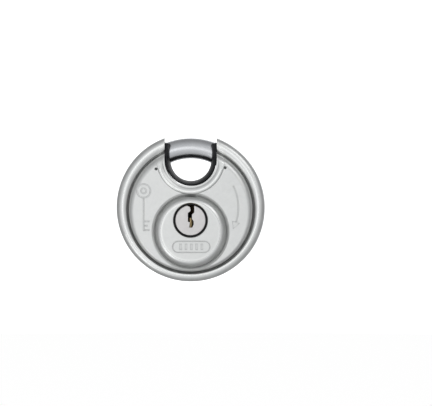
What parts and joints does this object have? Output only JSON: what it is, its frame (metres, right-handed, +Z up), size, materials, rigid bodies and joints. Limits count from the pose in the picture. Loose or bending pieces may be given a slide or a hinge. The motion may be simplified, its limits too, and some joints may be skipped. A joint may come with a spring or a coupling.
{
  "type": "disc padlock",
  "caption": "Round steel padlock with a turning shackle across a U-shaped throat and a pin tumbler cylinder in a raised boss.",
  "frame": {"origin": "the point on the shackle's underside, at the middle of the throat, that rests on a hasp's staple", "axes": "+Z up, -Y out of the front face (the keyhole side), +X to the right as the front is seen"},
  "size_m": [0.05, 0.021, 0.0485],
  "materials": {
    "stainless_steel": "satin stainless steel",
    "hardened_steel": "hardened steel, smooth",
    "black_plastic": "moulded black plastic, satin",
    "zinc_casting": "die-cast zinc, as cast",
    "brass": "machined brass",
    "nickel_plated_brass": "nickel-plated brass, fine brushed face"
  },
  "bodies": {
    "lock_body": {"front_shell": "stainless_steel", "rear_shell": "stainless_steel", "throat_liner": "black_plastic", "core_frame": "zinc_casting", "anti_drill_plate": "hardened_steel", "face_seal": "black_plastic", "cylinder_housing": "brass", "pin_chamber_cover": "brass", "pin_spring_1": "hardened_steel", "pin_spring_2": "hardened_steel", "pin_spring_3": "hardened_steel", "pin_spring_4": "hardened_steel"},
    "plug_group": {"plug": "nickel_plated_brass", "plug_clip": "hardened_steel", "crank_arm": "hardened_steel", "crank_pin": "hardened_steel", "crank_screw": "hardened_steel"},
    "shackle_group": {"shackle": "hardened_steel", "shackle_carrier": "hardened_steel", "carrier_dowel_1": "hardened_steel", "carrier_dowel_2": "hardened_steel"},
    "key_pin_group_1": {"key_pin_1": "brass"},
    "driver_pin_group_1": {"driver_pin_1": "hardened_steel"},
    "key_pin_group_2": {"key_pin_2": "brass"},
    "driver_pin_group_2": {"driver_pin_2": "hardened_steel"},
    "key_pin_group_3": {"key_pin_3": "brass"},
    "driver_pin_group_3": {"driver_pin_3": "hardened_steel"},
    "key_pin_group_4": {"key_pin_4": "brass"},
    "driver_pin_group_4": {"driver_pin_4": "hardened_steel"}
  },
  "joints": [
    {"name": "plug_turn", "type": "hinge", "parent": "lock_body", "child": "plug_group", "pos_m": [0, 0, -0.02072], "axis": [0, 1, 0], "range_deg": [0, 120]},
    {"name": "shackle_turn", "type": "hinge", "parent": "lock_body", "child": "shackle_group", "pos_m": [0, 0, -0.01645], "axis": [0, 1, 0], "range_deg": [0, 72]},
    {"name": "key_pin_1_slide", "type": "slide", "parent": "plug_group", "child": "key_pin_group_1", "axis": [0, 0, -1], "range_m": [-0.00095, 0]},
    {"name": "driver_pin_1_slide", "type": "slide", "parent": "lock_body", "child": "driver_pin_group_1", "axis": [0, 0, -1], "range_m": [-0.00095, 0], "deforming": ["pin_spring_1"]},
    {"name": "key_pin_2_slide", "type": "slide", "parent": "plug_group", "child": "key_pin_group_2", "axis": [0, 0, -1], "range_m": [-0.00215, 0]},
    {"name": "driver_pin_2_slide", "type": "slide", "parent": "lock_body", "child": "driver_pin_group_2", "axis": [0, 0, -1], "range_m": [-0.00215, 0], "deforming": ["pin_spring_2"]},
    {"name": "key_pin_3_slide", "type": "slide", "parent": "plug_group", "child": "key_pin_group_3", "axis": [0, 0, -1], "range_m": [-0.00135, 0]},
    {"name": "driver_pin_3_slide", "type": "slide", "parent": "lock_body", "child": "driver_pin_group_3", "axis": [0, 0, -1], "range_m": [-0.00135, 0], "deforming": ["pin_spring_3"]},
    {"name": "key_pin_4_slide", "type": "slide", "parent": "plug_group", "child": "key_pin_group_4", "axis": [0, 0, -1], "range_m": [-0.00175, 0]},
    {"name": "driver_pin_4_slide", "type": "slide", "parent": "lock_body", "child": "driver_pin_group_4", "axis": [0, 0, -1], "range_m": [-0.00175, 0], "deforming": ["pin_spring_4"]}
  ],
  "couplings": [
    {"joint": "shackle_turn", "follows": "plug_turn", "ratio": 0.6},
    {"joint": "driver_pin_1_slide", "follows": "key_pin_1_slide", "ratio": 1},
    {"joint": "driver_pin_2_slide", "follows": "key_pin_2_slide", "ratio": 1},
    {"joint": "driver_pin_3_slide", "follows": "key_pin_3_slide", "ratio": 1},
    {"joint": "driver_pin_4_slide", "follows": "key_pin_4_slide", "ratio": 1}
  ]
}
